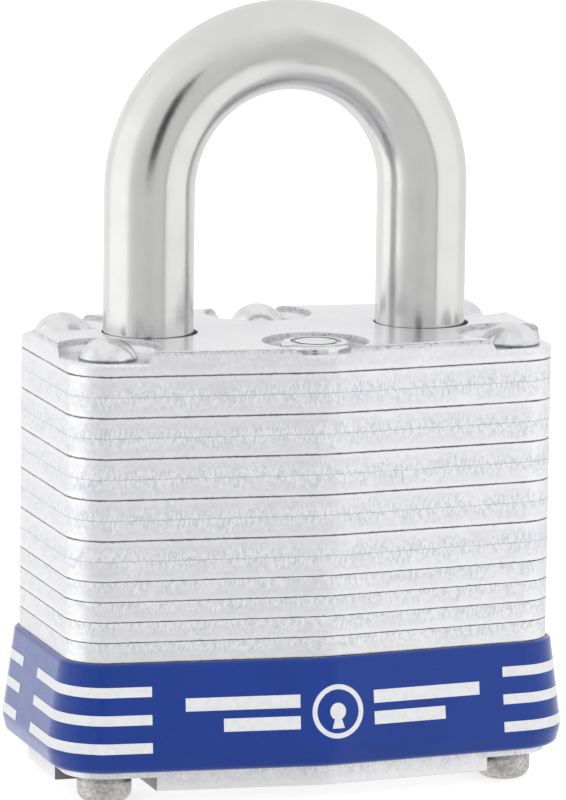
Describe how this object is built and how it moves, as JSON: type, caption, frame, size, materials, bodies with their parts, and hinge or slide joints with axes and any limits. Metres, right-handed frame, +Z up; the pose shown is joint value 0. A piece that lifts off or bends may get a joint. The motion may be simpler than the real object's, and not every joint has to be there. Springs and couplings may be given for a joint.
{
  "type": "laminated padlock",
  "caption": "Laminated steel padlock with a sprung U-shackle, two cam-driven locking levers, a pin-tumbler cylinder and a blue vinyl bumper.",
  "frame": {"origin": "centre of the bounding box's base, at the level of the four lower rivet heads that the lock stands on", "axes": "+Z up towards the shackle's crown, -Y towards the front face, -X towards the shackle's toe leg"},
  "size_m": [0.0424, 0.0246, 0.062],
  "materials": {
    "plated_steel": "bright zinc plate on sheared steel",
    "rivet_steel": "zinc plated, formed heads",
    "shackle_chrome": "bright plated hardened steel",
    "housing_brass": "machined",
    "plug_brass": "machined, satin face",
    "blue_vinyl": "glossy blue vinyl with white stripes round its corners",
    "spring_steel": "drawn wire",
    "lever_steel": "stamped, plain",
    "pin_brass": "turned",
    "pin_steel": "turned, nickel plated"
  },
  "bodies": {
    "body": {"top_plate": "plated_steel", "lamination_02": "plated_steel", "lamination_03": "plated_steel", "lamination_04": "plated_steel", "lamination_05": "plated_steel", "lamination_06": "plated_steel", "lamination_07": "plated_steel", "lamination_08": "plated_steel", "lamination_09": "plated_steel", "lamination_10": "plated_steel", "lamination_11": "plated_steel", "lamination_12": "plated_steel", "lamination_13": "plated_steel", "lamination_14": "plated_steel", "lamination_15": "plated_steel", "lamination_16": "plated_steel", "lamination_17": "plated_steel", "lamination_18": "plated_steel", "lamination_19": "plated_steel", "lamination_20": "plated_steel", "bottom_plate": "plated_steel", "corner_rivets": "rivet_steel", "centre_rivet_front": "rivet_steel", "centre_rivet_back": "rivet_steel", "cylinder_housing": "housing_brass", "chamber_cap": "housing_brass", "bumper": "blue_vinyl", "shackle_spring": "spring_steel", "toe_lever_spring": "spring_steel", "heel_lever_spring": "spring_steel", "pin_spring_1": "spring_steel", "pin_spring_2": "spring_steel", "pin_spring_3": "spring_steel", "pin_spring_4": "spring_steel"},
    "shackle": {"shackle": "shackle_chrome"},
    "plug": {"plug": "plug_brass"},
    "toe_lever": {"toe_lever": "lever_steel"},
    "heel_lever": {"heel_lever": "lever_steel"},
    "key_pin_1": {"key_pin_1": "pin_brass"},
    "driver_pin_1": {"driver_pin_1": "pin_steel"},
    "key_pin_2": {"key_pin_2": "pin_brass"},
    "driver_pin_2": {"driver_pin_2": "pin_steel"},
    "key_pin_3": {"key_pin_3": "pin_brass"},
    "driver_pin_3": {"driver_pin_3": "pin_steel"},
    "key_pin_4": {"key_pin_4": "pin_brass"},
    "driver_pin_4": {"driver_pin_4": "pin_steel"}
  },
  "joints": [
    {"name": "shackle_lift", "type": "slide", "parent": "body", "child": "shackle", "axis": [0, 0, 1], "range_m": [0, 0.0104], "deforming": ["shackle_spring"]},
    {"name": "plug_turn", "type": "hinge", "parent": "body", "child": "plug", "pos_m": [0, 0, 0.0139], "axis": [0, 0, 1], "range_deg": [-90, 0]},
    {"name": "toe_lever_slide", "type": "slide", "parent": "body", "child": "toe_lever", "axis": [-1, 0, 0], "range_m": [0, 0.0016], "deforming": ["toe_lever_spring"]},
    {"name": "heel_lever_slide", "type": "slide", "parent": "body", "child": "heel_lever", "axis": [1, 0, 0], "range_m": [0, 0.0016], "deforming": ["heel_lever_spring"]},
    {"name": "key_pin_1_slide", "type": "slide", "parent": "plug", "child": "key_pin_1", "axis": [1, 0, 0], "range_m": [0, 0.0012]},
    {"name": "driver_pin_1_slide", "type": "slide", "parent": "body", "child": "driver_pin_1", "axis": [0, 1, 0], "range_m": [0, 0.0009], "stiffness_N_per_m": 60, "springref_m": -0.001, "deforming": ["pin_spring_1"]},
    {"name": "key_pin_2_slide", "type": "slide", "parent": "plug", "child": "key_pin_2", "axis": [1, 0, 0], "range_m": [0, 0.0012]},
    {"name": "driver_pin_2_slide", "type": "slide", "parent": "body", "child": "driver_pin_2", "axis": [0, 1, 0], "range_m": [0, 0.0009], "stiffness_N_per_m": 60, "springref_m": -0.001, "deforming": ["pin_spring_2"]},
    {"name": "key_pin_3_slide", "type": "slide", "parent": "plug", "child": "key_pin_3", "axis": [1, 0, 0], "range_m": [0, 0.0012]},
    {"name": "driver_pin_3_slide", "type": "slide", "parent": "body", "child": "driver_pin_3", "axis": [0, 1, 0], "range_m": [0, 0.0009], "stiffness_N_per_m": 60, "springref_m": -0.001, "deforming": ["pin_spring_3"]},
    {"name": "key_pin_4_slide", "type": "slide", "parent": "plug", "child": "key_pin_4", "axis": [1, 0, 0], "range_m": [0, 0.0012]},
    {"name": "driver_pin_4_slide", "type": "slide", "parent": "body", "child": "driver_pin_4", "axis": [0, 1, 0], "range_m": [0, 0.0009], "stiffness_N_per_m": 60, "springref_m": -0.001, "deforming": ["pin_spring_4"]}
  ],
  "couplings": [
    {"joint": "toe_lever_slide", "follows": "plug_turn", "m_per_rad": -0.0010185},
    {"joint": "heel_lever_slide", "follows": "plug_turn", "m_per_rad": -0.0010185}
  ]
}
